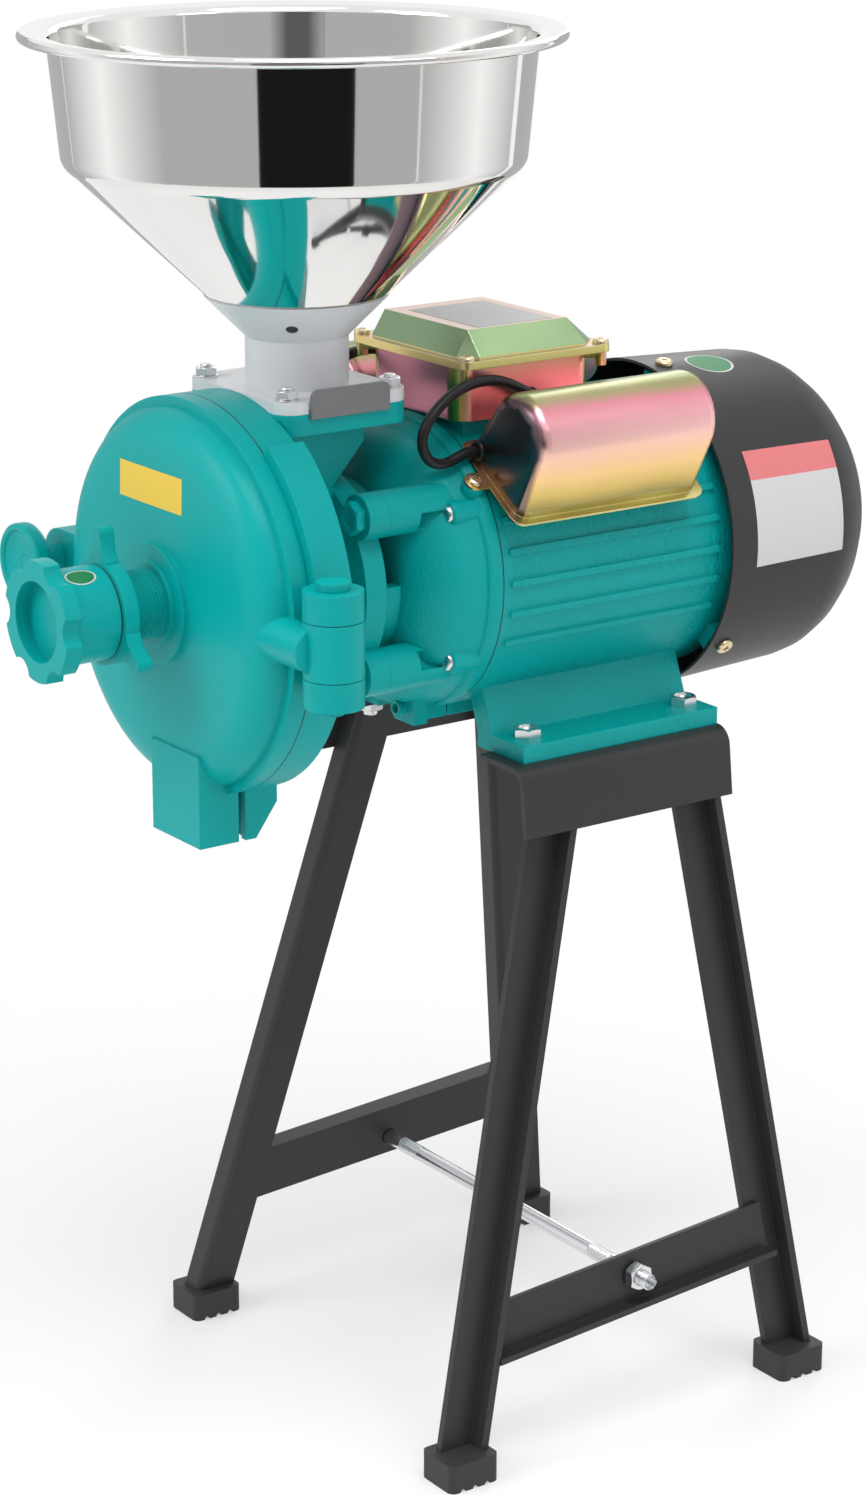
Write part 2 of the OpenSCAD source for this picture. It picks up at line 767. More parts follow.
// Boss under a capacitor cover's ear, and the hole for its screw
module ear_boss(y) for (side = [-1, 1]) cap_plane(side)
    translate([ear_x, y, -ear_boss]) cylinder(r = ear_r, h = ear_boss);
module ear_hole(y) for (side = [-1, 1]) cap_plane(side)
    translate([ear_x, y, -ear_screw]) cylinder(r = screw_r, h = ear_screw + over);

// Plane that a capacitor cover sits on: local z points out of it, local x down its slope
module cap_plane(side) translate([0, cap_y, shaft_h]) rotate([0, side * cap_tilt, 0])
    translate([side * cap_shift, 0, body_r]) mirror([side > 0 ? 0 : 1, 0, 0]) children();
module capacitor_seat() translate([0, cap_l * seat_share / 2, 0]) rotate([square_turn, 0, 0])
    linear_extrude(cap_l * seat_share)
    polygon(cap_w * seat_shares);

module stator_core() made_of(steel) turned([
    [stator_in_r, -stator_half], [body_r - body_wall - seat_gap, -stator_half],
    [body_r - body_wall - seat_gap, stator_half], [stator_in_r, stator_half]]);
module stator_winding() made_of(copper) for (side = [-1, 1]) {
    mid = stator_half + coil_l / 2;
    turned([for (a = [0 : 30 : full_turn - 1])
        [stator_in_r + coil_l * 0.75 + coil_l / 2 * cos(a), side * (mid + coil_l / 2 * sin(a))]]);
}
module rotor_core() made_of(steel) turned([
    [core_shaft_r + seat_gap, -stator_half], [stator_in_r - air_gap, -stator_half],
    [stator_in_r - air_gap, stator_half], [core_shaft_r + seat_gap, stator_half]]);
module motor_shaft() made_of(steel) turned([
    [m8_r + seat_gap, rotor_face], [nose_r, rotor_face],
    [nose_r, seal_front - over], [seal_shaft_r, seal_front - over],
    [seal_shaft_r, bearing_front], [shaft_r, bearing_front], [shaft_r, bearing_front + bearing_w],
    [core_shaft_r, bearing_front + bearing_w], [core_shaft_r, bearing_back], [shaft_r, bearing_back],
    [shaft_r, bearing_back + bearing_w], [nose_r, bearing_back + bearing_w], [nose_r, fan_shaft_end],
    [0, fan_shaft_end], [0, rotor_face + bolt_l + over], [m8_r + seat_gap, rotor_face + bolt_l + over]]);

module bearing(y) made_of(steel) turned([
    [shaft_r + run_gap, y + seat_gap], [bearing_r - seat_gap, y + seat_gap],
    [bearing_r - seat_gap, y + bearing_w - seat_gap], [shaft_r + run_gap, y + bearing_w - seat_gap]]);

// Front bell: a domed shield with a hollow neck that carries the mill
function dome(r, l, wall) = [for (i = [0 : 8])
    [neck_r - wall + (r - neck_r) * cos(i * square_turn / 8),
        front_end - dome_step + wall - (l - dome_step) * sin(i * square_turn / 8)]];
module front_bell() made_of(teal) difference() {
    union() {
        turned(concat([[0, front_end], [body_r, front_end], [body_r, front_end - dome_step]],
            dome(body_r - dome_lip, bell_dome, 0), [[neck_r, bell_front], [0, bell_front]]));
        for (x = [-1, 1], z = [-1, 1])
            bar_y(x * mount_x, bell_front, shaft_h + z * mount_z, mount_boss_r, neck_l + bell_dome / 2);
        for (x = [-1, 1], a = [-tie_screw_a, tie_screw_a]) around_shaft(a)
            bar_y(x * tie_screw_r, front_end - bell_dome / 2, 0, tie_screw_boss, bell_dome / 2 - over);
        bell_lug();
        ear_boss(-ear_y);
    }
    ear_hole(-ear_y);
    turned(concat([[0, front_end + over], [body_r - body_wall, front_end + over]],
        dome(body_r - dome_lip, bell_dome, bell_wall),
        [[bearing_r + hub_wall, front_end - bell_dome + bell_wall],
            [bearing_r + hub_wall, bearing_front + bearing_w], [0, bearing_front + bearing_w]]));
    bar_y(0, bearing_front, shaft_h, bearing_r, bearing_w + over);
    bar_y(0, bell_front - over, shaft_h, seal_shaft_r + over, neck_l + bell_dome);
    bar_y(0, bell_front - over, shaft_h, neck_r - neck_wall, neck_l - neck_wall / 2 + over);
    block([-neck_r - over, bell_front - over, shaft_h + window_up],
        [neck_r + over, bell_front + window_l, shaft_h + window_up + window_h]);
    for (x = [-1, 1], z = [-1, 1])
        bar_y(x * mount_x, bell_front - over, shaft_h + z * mount_z,
            mount_hole_r + run_gap, neck_l + over);
    for (x = [-1, 1], a = [-tie_screw_a, tie_screw_a]) around_shaft(a) {
        bar_y(x * tie_screw_r, front_end - bell_dome, 0, screw_r + seat_gap, bell_dome + over);
        bar_y(x * tie_screw_r, front_end - bell_dome, 0,
            screw_head_r + side_gap, tie_seat - front_end + bell_dome);
    }
    bar_y(nose_x, front_end - lug_ahead - nose_boss_l - over, lug_z + nose_up,
        screw_r, nose_boss_l + lug_l / 2);
}

// Lug for the earth screw under the bell, with a rail behind it
lug_z = shaft_h - body_r - lug_low;
module bell_lug() {
    lug_front = front_end - lug_ahead;
    translate([0, lug_front + lug_l, 0]) rotate([square_turn, 0, 0]) linear_extrude(lug_l) polygon([
        [lug_in, lug_z + lug_cut], [lug_in + lug_cut, lug_z], [lug_out, lug_z],
        [lug_out, lug_z + lug_high], [lug_in, lug_z + lug_high]]);
    block([lug_in + rail_step, lug_front + lug_l - over, shaft_h - body_r - rail_low],
        [lug_out - rail_step, front_end - over, lug_z + lug_high]);
    bar_y(nose_x, lug_front - nose_boss_l, lug_z + nose_up, nose_boss_r, nose_boss_l + over);
}
module bell_screws() made_of(zinc) for (x = [-1, 1], a = [-tie_screw_a, tie_screw_a]) around_shaft(a) {
    bar_y(x * tie_screw_r, tie_seat - screw_head_t, 0, screw_head_r, screw_head_t);
    bar_y(x * tie_screw_r, tie_seat, 0, screw_r, front_end - tie_seat);
}

module rear_shield() made_of(teal) difference() {
    union() {
        bar_y(0, body_back, shaft_h, body_r, shield_t);
        bar_y(0, body_back, shaft_h, bearing_r + hub_wall, bearing_w + hub_wall);
        for (i = [0 : 2]) around_shaft(fan_screw_a + i * full_turn / 3)
            block([bearing_r, body_back, -lug_w / 2],
                [fan_dome_r - fan_sheet, body_back + lug_w, lug_w / 2]);
    }
    bar_y(0, bearing_back, shaft_h, bearing_r, bearing_w + hub_wall);
    bar_y(0, body_back - over, shaft_h, core_shaft_r + over, bearing_w);
    for (i = [0 : 2]) around_shaft(fan_screw_a + i * full_turn / 3)
        bar_x(body_r, body_back + lug_w / 2, 0, screw_r + seat_gap, body_wall * 2);
}
module fan_cover() made_of(grey) difference() {
    straight = [[fan_cover_r, fan_edge], [fan_dome_r, fan_edge + fan_cover_l]];
    round = [for (i = [1 : dome_steps]) let (a = square_turn * i / dome_steps)
        [i == dome_steps ? 0 : fan_dome_r * pow(cos(a), 2 / dome_power),
            fan_edge + fan_cover_l + fan_dome_l * pow(sin(a), 2 / dome_power)]];
    turned(concat(straight, round, [
        for (i = [dome_steps : -1 : 0]) let (a = square_turn * i / dome_steps)
        [i == dome_steps ? 0 : (fan_dome_r - fan_sheet) * pow(cos(a), 2 / dome_power),
            fan_edge + fan_cover_l + (fan_dome_l - fan_sheet) * pow(sin(a), 2 / dome_power)]],
        [[fan_cover_r - fan_sheet, fan_edge]]));
    for (i = [0 : vent_n - 1]) around_shaft(i * full_turn / vent_n)
        block([vent_in, fan_end - fan_dome_l / 2, -vent_w / 2], [vent_out, fan_end + over, vent_w / 2]);
    for (i = [0 : 2]) around_shaft(fan_screw_a + i * full_turn / 3)
        bar_x(fan_dome_r - lug_w, body_back + lug_w / 2, 0, screw_r + side_gap, lug_w * 2);
}
module fan_cover_screws() made_of(gold) for (i = [0 : 2]) around_shaft(fan_screw_a + i * full_turn / 3) {
    seat = fan_cover_r - (fan_cover_r - fan_dome_r) * (body_back - fan_edge) / fan_cover_l;
    bar_x(seat, body_back + lug_w / 2, 0, screw_head_r, screw_head_t);
    bar_x(body_r, body_back + lug_w / 2, 0, screw_r, seat - body_r);
}
module cooling_fan() made_of(black) difference() {
    union() {
        bar_y(0, fan_at, shaft_h, fan_hub_r, fan_l);
        bar_y(0, fan_at, shaft_h, fan_r * 0.7, blade_t);
        for (i = [0 : fan_blades - 1]) around_shaft(i * full_turn / fan_blades)
            block([fan_hub_r - over, fan_at + over, -blade_t / 2],
                [fan_r, fan_at + fan_l - over, blade_t / 2]);
    }
    bar_y(0, fan_at - over, shaft_h, nose_r + seat_gap, fan_l + 2 * over);
}

// Electrics
module lid_corners(z) for (x = [-1, 1], y = [-1, 1])
    translate([x * lid_screw_x, box_y + y * lid_screw_y, z]) children();
module terminal_box() made_of(gold) difference() {
    union() {
        translate([0, box_y, box_floor])
            round_plate(box_w, box_l, box_corner, box_h + lid_edge - box_sheet);
        lid_corners(box_top - lid_tab_h) cylinder(r = lid_post_r, h = lid_tab_h + lid_edge - box_sheet);
        for (a = [-1, 1]) translate([0, box_y, box_top - lid_tab_h / 2]) rotate([0, 0, a * lid_screw_a])
            translate([-lid_screw_out, -screw_r, 0]) cube([2 * lid_screw_out, 2 * screw_r, lid_tab_h / 2]);
    }
    translate([0, box_y, box_floor + box_sheet])
        round_plate(box_w - 2 * box_sheet, box_l - 2 * box_sheet, box_corner - box_sheet,
            box_h + lid_edge);
    bar_y(gland_x, box_y, gland_z, gland_r * 0.7, box_l);
    lid_corners(box_top - lid_tab_h - over) cylinder(r = lid_screw_r + seat_gap, h = 2 * lid_tab_h);
}
module terminal_lid() made_of(gold) difference() {
    w = box_w + 2 * lid_out_x;
    l = box_l + 2 * lid_out_y;
    union() {
        translate([0, box_y, box_top]) round_plate(w, l, lid_corner, lid_edge);
        lid_top(w, l, 0);
    }
    translate([0, box_y, box_top - over])
        round_plate(w - 2 * box_sheet, l - 2 * box_sheet, lid_corner - box_sheet,
            lid_edge + over - box_sheet);
    lid_top(w, l, box_sheet);
    lid_corners(box_top) cylinder(r = lid_screw_r + seat_gap, h = lid_edge + over);
}
module lid_top(w, l, in) hull() {
    for (c = [0, 1]) translate([0, box_y, box_top + lid_edge - in]) linear_extrude(box_sheet / 2)
        square([w * 0.9 - 2 * in - 2 * c * lid_cut, l * 0.9 - 2 * in - 2 * (1 - c) * lid_cut],
            center = true);
    translate([0, box_y + lid_back_shift, box_top + lid_edge + lid_rise - box_sheet / 2 - in])
        linear_extrude(box_sheet / 2)
        square([w * lid_shares[0] - in, l * lid_shares[1] - in], center = true);
}
module terminal_lid_screws() made_of(gold) {
    lid_corners(box_top + lid_edge) cylinder(r = screw_head_r * 0.9, h = screw_head_t);
    lid_corners(box_top - lid_tab_h / 2) cylinder(r = lid_screw_r, h = lid_edge + lid_tab_h / 2);
}
module cable_gland() made_of(grey) translate([gland_x, box_y + box_l / 2, gland_z])
    rotate([-square_turn, 0, 0]) rotate_extrude() polygon(concat(
        [[gland_hole, -box_sheet - over], [gland_r * 0.65, -box_sheet - over],
            [gland_r * 0.65, 0], [gland_r, 0]],
        [for (i = [0 : 6]) [gland_hole + over + (gland_r - gland_hole - over) * cos(15 * i),
            gland_l * 0.35 + gland_l * 0.65 * sin(15 * i)]], [[gland_hole, gland_l]]));
module terminal_block() made_of(black) difference() {
    translate([0, box_y, box_floor + box_sheet]) round_plate(box_w / 2, box_l / 3, screw_r, box_h / 2);
    for (x = [-1, 0, 1]) translate([x * box_w / 7, box_y, box_floor + box_h / 4])
        cylinder(r = screw_r, h = box_h);
}

function d_section(w, c, r) =
    let (a = atan2(-c, w / 2) + acos(r / norm([w / 2, c])))
    concat([[-w / 2, 0], [w / 2, 0]], arc([0, c], r, a, half_turn - a, 16));
function d_ring(inset, y, low) =
    [for (p = d_section(cap_w - 2 * inset, cap_h - cap_top_r, cap_top_r - inset))
        [p[0], y, p[1] > 0 ? p[1] : low]];
function d_end(in, l, round, end, low) = [for (i = [0 : 3])
    let (a = square_turn * (end > 0 ? i : 3 - i) / 3)
    d_ring(in + round * (1 - sin(a)), end * (l / 2 - round * (1 - cos(a))), low)];
module d_body(in, l, round, low) loft(concat(d_end(in, l, round, 1, low), d_end(in, l, round, -1, low)));

// Solid through a row of rings that have the same number of points
module loft(rings) {
    n = len(rings);
    m = len(rings[0]);
    polyhedron(
        points = [for (ring = rings, p = ring) p],
        faces = concat([[for (k = [0 : m - 1]) k]],
            [for (i = [0 : n - 2], k = [0 : m - 1]) let (j = (k + 1) % m)
                [i * m + k, (i + 1) * m + k, (i + 1) * m + j, i * m + j]],
            [[for (k = [m - 1 : -1 : 0]) (n - 1) * m + k]]));
}
module capacitor_cover(side) made_of(gold) cap_plane(side) difference() {
    union() {
        d_body(0, cap_l, cap_end_r, 0);
        round_plate(cap_w + 2 * lip_w, cap_l + 2 * lip_w, cap_end_r, lip_t);
        block([ear_x - ear_r, -ear_y, 0], [ear_x + ear_r, ear_y, lip_t]);
        for (y = [-1, 1]) translate([ear_x, y * ear_y, 0]) cylinder(r = ear_r, h = lip_t);
    }
    d_body(lip_t, cap_l - 2 * lip_t, cap_end_r - lip_t, -over);
    for (y = [-1, 1]) translate([ear_x, y * ear_y, -over]) cylinder(r = screw_r, h = lip_t + 2 * over);
}
module capacitor(side) made_of(black) cap_plane(side)
    translate([0, -cap_l * 0.4, cap_top_r - 2 * lip_t + seat_gap]) rotate([-square_turn, 0, 0])
    cylinder(r = cap_top_r - 2 * lip_t, h = cap_l * 0.8);
module capacitor_screws() made_of(gold) for (side = [-1, 1], y = [-1, 1]) cap_plane(side)
    translate([ear_x, y * ear_y, 0]) {
        translate([0, 0, lip_t]) cylinder(r = screw_head_r * 0.85, h = screw_head_t * 0.8);
        translate([0, 0, -ear_screw]) cylinder(r = screw_r - seat_gap, h = ear_screw + lip_t);
    }

// Lead loops: a round tube along a route that leaves the box and enters a capacitor cover
function blend(p, i, t) =
    let (n = len(p) - 1)
    let (a = p[max(i - 1, 0)])
    let (b = p[i])
    let (c = p[min(i + 1, n)])
    let (d = p[min(i + 2, n)])
    let (square = 2 * a - 5 * b + 4 * c - d)
    let (cube = 3 * b - a - 3 * c + d)
    (2 * b + (c - a) * t + square * t * t + cube * t * t * t) / 2;
function smooth(p, steps) = concat(
    [for (i = [0 : len(p) - 2], k = [0 : steps - 1]) blend(p, i, k / steps)], [p[len(p) - 1]]);
module tube(p, r, sides) loft([for (i = [0 : len(p) - 1])
    let (way = unit(p[min(i + 1, len(p) - 1)] - p[max(i - 1, 0)]))
    let (u = unit(cross(way, lead_side)))
    let (v = cross(way, u))
    [for (k = [0 : sides - 1]) let (a = full_turn * k / sides) p[i] + r * (u * cos(a) + v * sin(a))]]);

// The route's places are shares of the loop: out from the box, forward of the cover's end, and up
lead_side = [1, 0.35, 0];
lead_from = box_w / 2 + seat_gap;
lead_out = lead_d * 1.8;
lead_x = lead_from + lead_out;
lead_in_y = cap_y - cap_l / 2 - seat_gap;
lead_in_z = shaft_h + (body_r + lead_d - lead_x * sin(cap_tilt)) / cos(cap_tilt);
lead_low = lead_in_z - lead_d * 0.7;
lead_high = box_floor + box_h * 0.79;
lead_shares = [
    [0, -1.16, 0.64], [0.25, -1.16, 0.64], [0.55, -1.16, 0.64], [1, -0.85, 0.79], [1, -0.41, 0.97],
    [1, 0.06, 1], [1, 0.53, 0.86], [1, 0.88, 0.58], [1, 1, 0.33], [1, 0.88, 0.08], [1, 0.62, 0],
    [1, 0.34, 0.07]];
lead_route = concat(
    [for (s = lead_shares)
        [lead_from + s[0] * lead_out, lead_in_y - s[1] * lead_reach,
            lead_low + s[2] * (lead_high - lead_low)]],
    [[lead_x, lead_in_y - lead_d, lead_in_z], [lead_x, lead_in_y, lead_in_z]]);
module capacitor_lead(side) made_of(black) mirror([side > 0 ? 0 : 1, 0, 0])
    tube(smooth(lead_route, 2), lead_d / 2, 8);

// Mill housing
module lobed_flange(t) {
    cylinder(r = neck_r + neck_wall, h = t);
    for (x = [-1, 1], y = [-1, 1]) translate([x * mount_x, y * mount_z, 0])
        cylinder(r = mount_boss_r, h = t);
}
module spout_half(points) translate([spout_x - spout_w / 2, 0, 0]) rotate([square_turn, 0, square_turn])
    linear_extrude(spout_w) polygon(points);
module spout_passage(points) translate([spout_x - spout_w / 2 + spout_wall, 0, 0])
    rotate([square_turn, 0, square_turn]) linear_extrude(spout_w - 2 * spout_wall) polygon(points);
module housing() made_of(teal) difference() {
    under = flange_top - flange_t;
    union() {
        turned([[0, seam_y], [mill_r, seam_y], [mill_r, seam_y + rim_l],
            [neck_out_r * 1.55, seam_y + rim_l], [neck_out_r, seam_y + rim_l * 1.6],
            [neck_out_r, bell_front], [0, bell_front]]);
        on_shaft(neck_front) lobed_flange(mount_flange);
        translate([-throat_half, 0, 0]) rotate([square_turn, 0, square_turn])
            linear_extrude(2 * throat_half) polygon([
                [seam_y + rim_l - over, shaft_h], [neck_front, shaft_h],
                [neck_front, shaft_h + mount_z + mount_boss_r], [throat_back, under - flange_t],
                [throat_back, flange_top - over], [seam_y + rim_l - over, flange_top - over]]);
        translate([0, feed_y, under]) round_plate(flange_w, flange_l, flange_corner, flange_t);
        intersection() {
            bar_y(0, seam_y, shaft_h, mill_r + band_rise, rim_l);
            translate([0, seam_y + rim_l, shaft_h]) rotate([square_turn, 0, 0]) linear_extrude(rim_l)
                polygon([mill_in * toward(band_to), mill_in * toward(band_from),
                    2 * mill_r * toward(band_from), 2 * mill_r * toward(band_to)]);
        }
        for (side = [-1, 1]) {
            z = hinge_z + side * (knuckle_h / 2 + knuckle_gap + knuckle_end_h / 2) - knuckle_end_h / 2;
            bar_z(hinge_x, hinge_y, z, knuckle_r, knuckle_end_h);
            block([mill_in + spout_wall, seam_y, z],
                [hinge_x, seam_y + knuckle_r * 0.8, z + knuckle_end_h]);
        }
        bar_y(-latch_x, seam_y, latch_z, latch_lug_r, latch_lug_back - seam_y);
        block([-latch_x, seam_y, latch_z - latch_lug_r],
            [-mill_in - spout_wall, latch_lug_back, latch_z + latch_lug_r]);
        spout_half([[seam_y, spout_top], [spout_back, spout_top], [spout_back, shaft_h - mill_r - over],
            [spout_toe, spout_low], [seam_y, spout_low]]);
    }
    bar_y(0, seam_y - over, shaft_h, mill_in, chamber_l + over);
    bar_y(0, seam_y, shaft_h, auger_bore, seal_front - over - seam_y);
    bar_y(0, seam_y, shaft_h, seal_r, bell_front - seam_y + over);
    translate([0, feed_y, flange_top + over]) rotate([half_turn - chute_lean, 0, 0])
        cylinder(r = chute_r, h = mill_r);
    spout_passage([[seam_y - over, spout_top], [chamber_back - spout_wall / 2, spout_top],
        [chamber_back - spout_wall / 2, shaft_h - mill_in - spout_wall],
        [spout_toe - spout_wall, spout_low - over], [seam_y - over, spout_low - over]]);
    bar_z(hinge_x, hinge_y, hinge_z - knuckle_h * 2, pin_r + seat_gap, knuckle_h * 4);
    bar_y(-latch_x, seam_y - over, latch_z, latch_stud_r + latch_play,
        latch_lug_back - seam_y + 2 * over);
    for (x = [-1, 1], z = [-1, 1])
        bar_y(x * mount_x, neck_front - over, shaft_h + z * mount_z,
            mount_hole_r + side_gap, mount_flange + 2 * over);
    for (x = [-1, 1], y = [-1, 1])
        bar_z(x * stud_across / 2, feed_y + y * stud_along / 2, flange_top - flange_t - over,
            m6_r + seat_gap, flange_t + 2 * over);
}
module housing_bolts() made_of(teal) for (x = [-1, 1], z = [-1, 1])
    translate([x * mount_x, neck_front, shaft_h + z * mount_z]) rotate([-square_turn, 0, 0]) {
        translate([0, 0, -m8_head]) hexagon(mount_af, m8_head);
        cylinder(r = mount_hole_r, h = mount_flange + neck_l * 0.9);
    }
module shaft_seal() made_of(rubber) turned([
    [seal_shaft_r + run_gap, seal_front], [seal_r - seat_gap, seal_front],
    [seal_r - seat_gap, seal_front + seal_l], [seal_shaft_r + run_gap, seal_front + seal_l]]);

// Turning parts of the mill
module feed_auger() made_of(steel) difference() {
    l = seal_front - 2 * over - rotor_face - disc_t;
    on_shaft(rotor_face + disc_t) {
        cylinder(r = nose_r * 1.35, h = l);
        linear_extrude(l, twist = full_turn * l / auger_pitch, slices = 22, $fn = 6)
            translate([0, -auger_pitch / 10]) square([auger_r, auger_pitch / 5]);
    }
    bar_y(0, rotor_face, shaft_h, nose_r + seat_gap, l + disc_t + over);
}

// Grooves cut in a disc's face: groups of parallel grooves
module grooves(y0, y1) for (g = [0 : groove_groups - 1], k = [0 : groove_steps - 1])
    around_shaft(g * full_turn / groove_groups)
    block([feed_hole_r - 2 * over + k * groove_pitch * 1.2, y0, k * groove_pitch],
        [disc_r + over, y1, k * groove_pitch + groove_w]);
module rotating_disc() made_of(steel) difference() {
    bar_y(0, rotor_face, shaft_h, disc_r, disc_t);
    bar_y(0, rotor_face - over, shaft_h, nose_r + seat_gap, disc_t + 2 * over);
    for (i = [0 : 2]) around_shaft(i * full_turn / 3)
        bar_y(window_circle, rotor_face - over, 0, window_r, disc_t + 2 * over);
    grooves(rotor_face - over, rotor_face + groove_deep);
}
module disc_bolt() made_of(zinc) {
    on_shaft(rotor_face - m8_head) hexagon(bolt_af, m8_head);
    bar_y(0, rotor_face, shaft_h, m8_r, bolt_l);
}

// Cover and what it carries
module cover() made_of(teal) difference() {
    union() {
        shoulder = mill_r - cover_flat_r - mill_wall * 0.75;
        turned(concat([[0, seam_y], [mill_r, seam_y], [mill_r, seam_y - cover_flange]],
            [for (i = [0 : 6]) let (a = square_turn * i / 6)
                [cover_flat_r + shoulder * cos(a),
                    seam_y - cover_flange - (cover_l - cover_flange) * sin(a)]],
            [[boss_r, cover_front - face_rise], [boss_r, cover_front - face_rise - boss_l],
                [boss_step_r, cover_front - face_rise - boss_l], [boss_step_r, boss_front],
                [stub_r, boss_front], [stub_r, stub_front], [0, stub_front]]));
        spout_half([[seam_y - spout_split, spout_top], [spout_front, spout_top],
            [spout_front, spout_low], [seam_y - spout_split, spout_low]]);
        bar_z(hinge_x, hinge_y, hinge_z - knuckle_h / 2, knuckle_r, knuckle_h);
        bar_x(cover_flat_r + knuckle_r / 2, arm_y, hinge_z, arm_r,
            hinge_x - cover_flat_r - knuckle_r / 2);
        translate([cover_flat_r + knuckle_r / 2, arm_y, hinge_z]) sphere(arm_r);
        bar_y(-latch_x, latch_lug_front, latch_z, latch_lug_r, seam_y - latch_lug_front);
        block([-latch_x, latch_lug_front, latch_z - latch_lug_r],
            [-mill_in - spout_wall, seam_y, latch_z + latch_lug_r]);
    }
    turned([[0, seam_y + over], [mill_in, seam_y + over], [mill_in, seam_y - cover_flange],
        [cover_flat_r, cover_front + mill_wall], [0, cover_front + mill_wall]]);
    bar_y(0, stub_front - over, shaft_h, push_r + run_gap, seam_y - stub_front);
    spout_passage([[seam_y + over, spout_top], [cover_front + mill_wall, spout_top],
        [spout_front + spout_wall, spout_low - over], [seam_y + over, spout_low - over]]);
    bar_z(hinge_x, hinge_y, hinge_z - knuckle_h, pin_r + run_gap, knuckle_h * 2);
    bar_y(-latch_x, latch_lug_front - over, latch_z, latch_stud_r + run_gap,
        seam_y - latch_lug_front + 2 * over);
}
module hinge_pin() made_of(zinc) {
    half = knuckle_h / 2 + knuckle_gap + knuckle_end_h;
    bar_z(hinge_x, hinge_y, hinge_z - half - pin_head_t, pin_r, 2 * half + pin_head_t);
    bar_z(hinge_x, hinge_y, hinge_z + half, pin_head_r, pin_head_t);
}
module stationary_disc() made_of(steel) difference() {
    bar_y(0, carrier_back, shaft_h, disc_r, disc_t);
    bar_y(0, carrier_back - over, shaft_h, feed_hole_r, disc_t + 2 * over);
    for (i = [0 : 2]) around_shaft(i * full_turn / 3)
        bar_y(peg_circle, carrier_back - over, 0, peg_r + seat_gap, disc_t * 0.7 + over);
    grooves(fixed_face - groove_deep, fixed_face + over);
}
module disc_carrier() made_of(steel) {
    bar_y(0, carrier_front, shaft_h, disc_r * 0.92, carrier_t);
    for (i = [0 : 2]) around_shaft(i * full_turn / 3)
        bar_y(peg_circle, carrier_front, 0, peg_r, carrier_t + disc_t * 0.6);
}
module push_rod() made_of(steel)
    bar_y(0, stub_front - rod_out, shaft_h, push_r, carrier_front - stub_front + rod_out);
handle_side = [
    [ring_r - over, handle_foot / 2], [ring_r + handle_flare, handle_w / 2],
    [ring_reach - handle_end_r, handle_tip / 2]];
module lock_ring() made_of(teal) difference() {
    union() {
        bar_y(0, ring_front, shaft_h, ring_r, ring_t);
        for (i = [0 : 2]) around_shaft(square_turn + i * full_turn / 3) {
            translate([0, ring_back, 0]) rotate([square_turn, 0, 0]) linear_extrude(ring_t)
                polygon(concat(handle_side,
                    [for (i = [2 : -1 : 0]) [handle_side[i][0], -handle_side[i][1]]]));
            bar_y(ring_reach - handle_end_r, ring_front, 0, handle_end_r, ring_t);
        }
    }
    bar_y(0, ring_front - over, shaft_h, stub_r + run_gap, ring_t + 2 * over);
}
module adjusting_knob() made_of(teal) difference() {
    union() {
        bar_y(0, hub_front, shaft_h, hub_r, hub_l);
        on_shaft(grip_front) linear_extrude(grip_l) difference() {
            circle(grip_r);
            for (i = [0 : grip_lobes - 1]) rotate(i * full_turn / grip_lobes)
                translate([grip_r * 1.12, 0]) circle(grip_r * 0.27);
        }
    }
    bar_y(0, stub_front - rod_out - seat_gap, shaft_h, stub_r + run_gap, hub_l);
    bar_y(0, grip_front - over, shaft_h, cup_r, cup_deep + over);
}
module latch_stud() made_of(zinc) {
    front = latch_back - latch_t + latch_dish;
    bar_y(-latch_x, front, latch_z, latch_stud_r, latch_lug_back - front);
    bar_y(-latch_x, latch_back, latch_z, sleeve_r, sleeve_l - seat_gap);
}
module latch_knob() made_of(teal) translate([-latch_x, latch_back, latch_z]) rotate([square_turn, 0, 0])
    rotate_extrude() polygon(concat(
        [[latch_stud_r + run_gap, 0], [latch_r - latch_dish, 0]],
        arc([latch_r - latch_dish, latch_dish], latch_dish, -square_turn, 0, 5),
        arc([latch_r - latch_dish / 2, latch_t - latch_dish / 2], latch_dish / 2, 0, half_turn, 6),
        [[latch_r * 0.55, latch_t - latch_dish], [latch_stud_r + run_gap, latch_t - latch_dish]]));

// Feed
module feed_collar() made_of(white) difference() {
    translate([0, feed_y, flange_top]) union() {
        round_plate(flange_w, flange_l, flange_corner, collar_t);
        translate([0, 0, -flange_top]) rotate_extrude() polygon([
            [0, flange_top], [collar_r, flange_top], [collar_r, collar_top],
            [collar_rim_r, hopper_seat],
            [collar_rim_r - collar_lip, hopper_seat], [collar_in, cone_low], [0, cone_low]]);
    }
    translate([0, feed_y, 0]) {
        bar_z(0, 0, flange_top - over, collar_in, collar_tube * 2);
        rotate([0, 0, set_screw_a]) screw_place()
            cylinder(r = set_screw_r + seat_gap, h = collar_rim, center = true);
        block([flange_w / 2 - gate_reach - side_gap, -gate_w / 2 - side_gap, flange_top - over],
            [flange_w / 2 + over, gate_w / 2 + side_gap, flange_top + gate_slot]);
        for (x = [-1, 1], y = [-1, 1])
            bar_z(x * stud_across / 2, y * stud_along / 2, flange_top - over,
                m6_r + side_gap, collar_t + 2 * over);
    }
}
module screw_place() translate([collar_r + set_screw_z - collar_top, 0, set_screw_z])
    rotate([0, square_turn * 1.5, 0]) children();
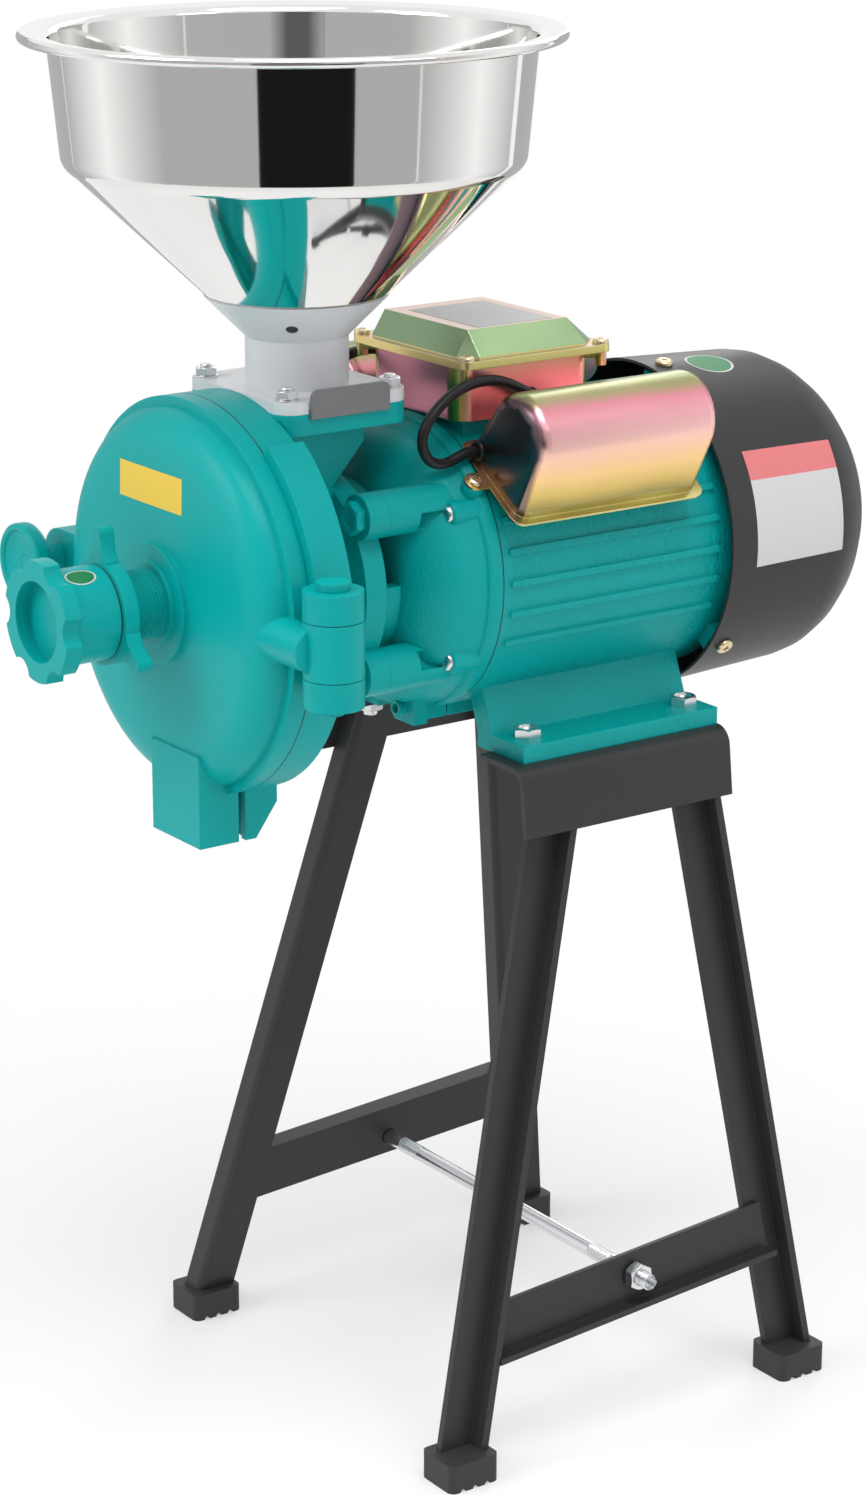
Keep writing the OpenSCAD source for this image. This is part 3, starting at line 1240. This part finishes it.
module collar_nuts() made_of(zinc) for (x = [-1, 1], y = [-1, 1])
    translate([x * stud_across / 2, feed_y + y * stud_along / 2, 0]) {
        bar_z(0, 0, flange_top - flange_t, m6_r, flange_t + collar_t + m6_nut + rod_end / 2);
        translate([0, 0, flange_top + collar_t]) difference() {
            hexagon(m6_af, m6_nut);
            translate([0, 0, -over]) cylinder(r = m6_r - seat_gap, h = m6_nut + 2 * over);
        }
    }
module feed_gate() made_of(grey) {
    edge = flange_w / 2 + side_gap;
    translate([0, feed_y, flange_top]) {
        block([flange_w / 2 - gate_reach, -gate_w / 2, 0], [edge, gate_w / 2, gate_t]);
        tab_x = gate_w / 2 - tab_corner;
        tab_z = tab_h - tab_low - tab_corner;
        translate([edge, 0, 0]) rotate([square_turn, 0, square_turn]) linear_extrude(gate_t)
            polygon(concat([[-gate_w / 2, -tab_low], [gate_w / 2, -tab_low]],
                arc([tab_x, tab_z], tab_corner, 0, square_turn, 5),
                arc([-tab_x, tab_z], tab_corner, square_turn, half_turn, 5)));
    }
}
module hopper() made_of(steel) translate([0, feed_y, 0]) rotate_extrude() polygon(sheet_faces(concat(
    [[outlet_r, collar_top - hopper_low], [outlet_r, cone_low]],
    arc([cone_r - bowl_round * sin(cone_a), bowl_low + bowl_round * cos(cone_a)], bowl_round,
        cone_a - square_turn, -bowl_lean, 5),
    [[bowl_r, bowl_top]],
    arc([bowl_r + rim_bend, bowl_top], rim_bend, square_turn * 1.7, square_turn, 4),
    arc([hopper_r - hopper_t - roll_r, bowl_top + rim_bend - roll_r], roll_r,
        square_turn, -half_turn / 3, 7)),
    hopper_t));
module hopper_screw() made_of(black) translate([0, feed_y, 0]) rotate([0, 0, set_screw_a]) screw_place()
    translate([0, 0, side_gap - collar_lip]) cylinder(r = set_screw_r, h = collar_lip - 2 * side_gap);

bracket(-1);  // left_bracket
bracket(1);  // right_bracket
leg(-1, front_leg);  // front_left_leg
leg(1, front_leg);  // front_right_leg
leg(-1, back_leg);  // back_left_leg
leg(1, back_leg);  // back_right_leg
brace(-1, left_brace_z, true);  // left_brace
brace(1, right_brace_z, false);  // right_brace
tie_rod();
m8_nuts();
foot_bolts();
foot(-1, front_leg);  // front_left_foot
foot(1, front_leg);  // front_right_foot
foot(-1, back_leg);  // back_left_foot
foot(1, back_leg);  // back_right_foot
motor_body();
stator_core();
stator_winding();
front_bell();
rear_shield();
bell_screws();
bearing(bearing_front);  // front_bearing
bearing(bearing_back);  // rear_bearing
motor_shaft();
rotor_core();
cooling_fan();
fan_cover();
fan_cover_screws();
terminal_box();
terminal_lid();
terminal_lid_screws();
cable_gland();
terminal_block();
capacitor_cover(-1);  // left_capacitor_cover
capacitor_cover(1);  // right_capacitor_cover
capacitor(-1);  // left_capacitor
capacitor(1);  // right_capacitor
capacitor_lead(-1);  // left_capacitor_lead
capacitor_lead(1);  // right_capacitor_lead
capacitor_screws();
housing();
housing_bolts();
shaft_seal();
feed_auger();
rotating_disc();
disc_bolt();
cover();
hinge_pin();
stationary_disc();
disc_carrier();
push_rod();
lock_ring();
adjusting_knob();
latch_stud();
latch_knob();
feed_collar();
collar_nuts();
feed_gate();
hopper();
hopper_screw();
